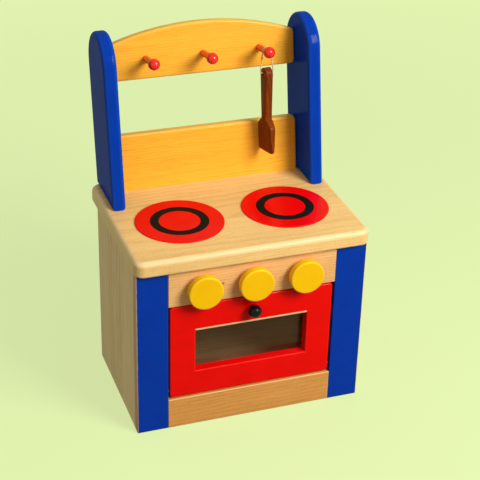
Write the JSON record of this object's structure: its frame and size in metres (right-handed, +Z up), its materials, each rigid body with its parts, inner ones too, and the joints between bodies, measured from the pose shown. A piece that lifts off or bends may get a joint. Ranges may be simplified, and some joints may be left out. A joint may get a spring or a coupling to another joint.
{
  "type": "toy oven",
  "caption": "Wooden toy cooker: boxed oven with a drop-down windowed door, control knobs, a worktop with burners, and a leaning peg rail from which a spatula hangs.",
  "frame": {"origin": "under the middle of the whole cooker, on the surface that it stands on", "axes": "+X to the right as seen from the front, +Y from the oven door to the back, +Z up"},
  "size_m": [0.24, 0.207, 0.3655],
  "materials": {
    "beech": "clear satin lacquer on pale wood",
    "plywood": "bare sanded plywood",
    "blue_paint": "gloss paint on wood",
    "red_paint": "gloss paint on wood",
    "yellow_paint": "gloss paint on wood",
    "amber_paint": "gloss paint on wood",
    "black_paint": "gloss paint on wood",
    "steel": "zinc plated",
    "clear_pane": "clear sheet",
    "brown_wood": "oiled dark wood",
    "white_string": "twisted cotton"
  },
  "bodies": {
    "cabinet": {"worktop": "beech", "side_panel_left": "beech", "side_panel_right": "beech", "back_panel": "plywood", "floor_board": "beech", "kickboard": "beech", "stile_left": "blue_paint", "stile_right": "blue_paint", "control_panel": "beech", "door_stop": "beech", "catch_magnet": "steel", "hinge_pin_left": "steel", "hinge_pin_right": "steel", "burner_left": "red_paint", "burner_right": "red_paint", "burner_ring_left": "black_paint", "burner_ring_right": "black_paint", "post_left": "blue_paint", "post_right": "blue_paint", "peg_rail": "amber_paint", "splashback": "amber_paint", "peg_left": "red_paint", "peg_middle": "red_paint", "peg_right": "red_paint", "post_screws": "steel", "rail_dowels": "beech", "splashback_dowels": "beech", "worktop_dowels": "beech", "floor_dowels": "beech"},
    "door": {"door_panel": "red_paint", "door_pane": "clear_pane", "window_bead": "beech", "pane_screws": "steel", "door_knob": "black_paint", "door_knob_screw": "steel", "catch_plate": "steel"},
    "left_knob": {"knob_left": "yellow_paint", "knob_axle_left": "beech", "knob_collar_left": "beech"},
    "middle_knob": {"knob_middle": "yellow_paint", "knob_axle_middle": "beech", "knob_collar_middle": "beech"},
    "right_knob": {"knob_right": "yellow_paint", "knob_axle_right": "beech", "knob_collar_right": "beech"},
    "hung_spatula": {"spatula": "brown_wood", "string_loop": "white_string", "string_knot": "white_string"}
  },
  "joints": [
    {"name": "door_hinge", "type": "hinge", "parent": "cabinet", "child": "door", "pos_m": [0, -0.08447, 0.042], "axis": [1, 0, 0], "range_deg": [0, 104]},
    {"name": "left_knob_turn", "type": "hinge", "parent": "cabinet", "child": "left_knob", "pos_m": [-0.052, -0.09047, 0.159], "axis": [0, -1, 0], "continuous": true},
    {"name": "middle_knob_turn", "type": "hinge", "parent": "cabinet", "child": "middle_knob", "pos_m": [0, -0.09047, 0.159], "axis": [0, -1, 0], "continuous": true},
    {"name": "right_knob_turn", "type": "hinge", "parent": "cabinet", "child": "right_knob", "pos_m": [0.052, -0.09047, 0.159], "axis": [0, -1, 0], "continuous": true},
    {"name": "spatula_swing", "type": "hinge", "parent": "cabinet", "child": "hung_spatula", "pos_m": [0.06, 0.05367, 0.33511], "axis": [0, -0.9854, 0.1702], "range_deg": [-60, 16]}
  ]
}
